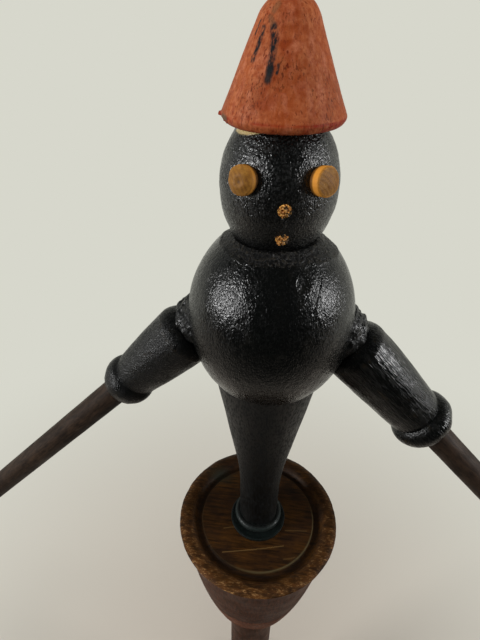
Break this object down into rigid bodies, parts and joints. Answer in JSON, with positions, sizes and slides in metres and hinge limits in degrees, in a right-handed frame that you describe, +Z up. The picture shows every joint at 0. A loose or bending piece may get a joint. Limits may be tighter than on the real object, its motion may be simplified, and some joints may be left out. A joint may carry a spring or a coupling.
{
  "type": "balancing toy",
  "caption": "Turned wooden figure that balances on a ball pivot on top of a turned stand, with long drooping arms that end in weighted balls.",
  "frame": {"origin": "centre of the stand's base, on the ground", "axes": "+Z up along the stand, X along the arms, the figure faces -Y"},
  "size_m": [0.3966, 0.092, 0.4146],
  "materials": {
    "stained_stem_wood": "turned, brown stain under satin varnish",
    "orange_stained_wood": "turned, orange-red stain under varnish",
    "stained_bell_wood": "turned, dark brown stain under satin varnish",
    "worn_platform_wood": "dark brown varnish, worn at the rim",
    "black_painted_ring": "black lacquer",
    "brass_cup": "turned",
    "steel": "plain",
    "black_lacquered_body": "turned, black lacquer, semi-gloss",
    "black_lacquered_sleeve": "turned, black lacquer, semi-gloss",
    "black_painted_head": "turned, thick black paint, semi-gloss",
    "red_stained_hat": "turned, orange-red stain, matt",
    "bare_wood_peg": "bare turned wood under thin varnish",
    "rough_wood_peg": "rough broken end grain",
    "dowel_wood": "bare beech dowel",
    "dark_rod_wood": "dark brown stain, satin",
    "dark_ball_wood": "turned, dark brown stain, satin"
  },
  "bodies": {
    "stand": {"foot_ring": "black_painted_ring", "platform": "worn_platform_wood", "stand_band": "orange_stained_wood", "stand_base": "stained_stem_wood", "stand_bell": "stained_bell_wood", "stand_stem": "stained_stem_wood"},
    "turning_cup": {"pivot_cup": "brass_cup"},
    "rocking_ball": {"pivot_ball": "steel"},
    "figure": {"arm_rod_left": "dark_rod_wood", "arm_rod_right": "dark_rod_wood", "ball_left": "dark_ball_wood", "ball_plug_left": "dark_ball_wood", "ball_plug_right": "dark_ball_wood", "ball_right": "dark_ball_wood", "eye_left": "bare_wood_peg", "eye_right": "bare_wood_peg", "foot_socket": "steel", "hat": "red_stained_hat", "hat_dowel": "dowel_wood", "head": "black_painted_head", "leg": "black_lacquered_body", "leg_dowel": "dowel_wood", "mouth_peg": "rough_wood_peg", "neck_dowel": "dowel_wood", "nose_peg": "rough_wood_peg", "shoulder_left": "black_lacquered_sleeve", "shoulder_right": "black_lacquered_sleeve", "sleeve_left": "black_lacquered_sleeve", "sleeve_right": "black_lacquered_sleeve", "slug_left": "steel", "slug_right": "steel", "torso": "black_lacquered_body"}
  },
  "joints": [
    {"name": "figure_turn", "type": "hinge", "parent": "stand", "child": "turning_cup", "pos_m": [0, 0, 0.2615], "axis": [0, 0, 1], "continuous": true},
    {"name": "rock_front", "type": "hinge", "parent": "turning_cup", "child": "rocking_ball", "pos_m": [0, 0, 0.2615], "axis": [1, 0, 0], "range_deg": [-10, 10]},
    {"name": "rock_side", "type": "hinge", "parent": "rocking_ball", "child": "figure", "pos_m": [0, 0, 0.2615], "axis": [0, 1, 0], "range_deg": [-10, 10]}
  ]
}
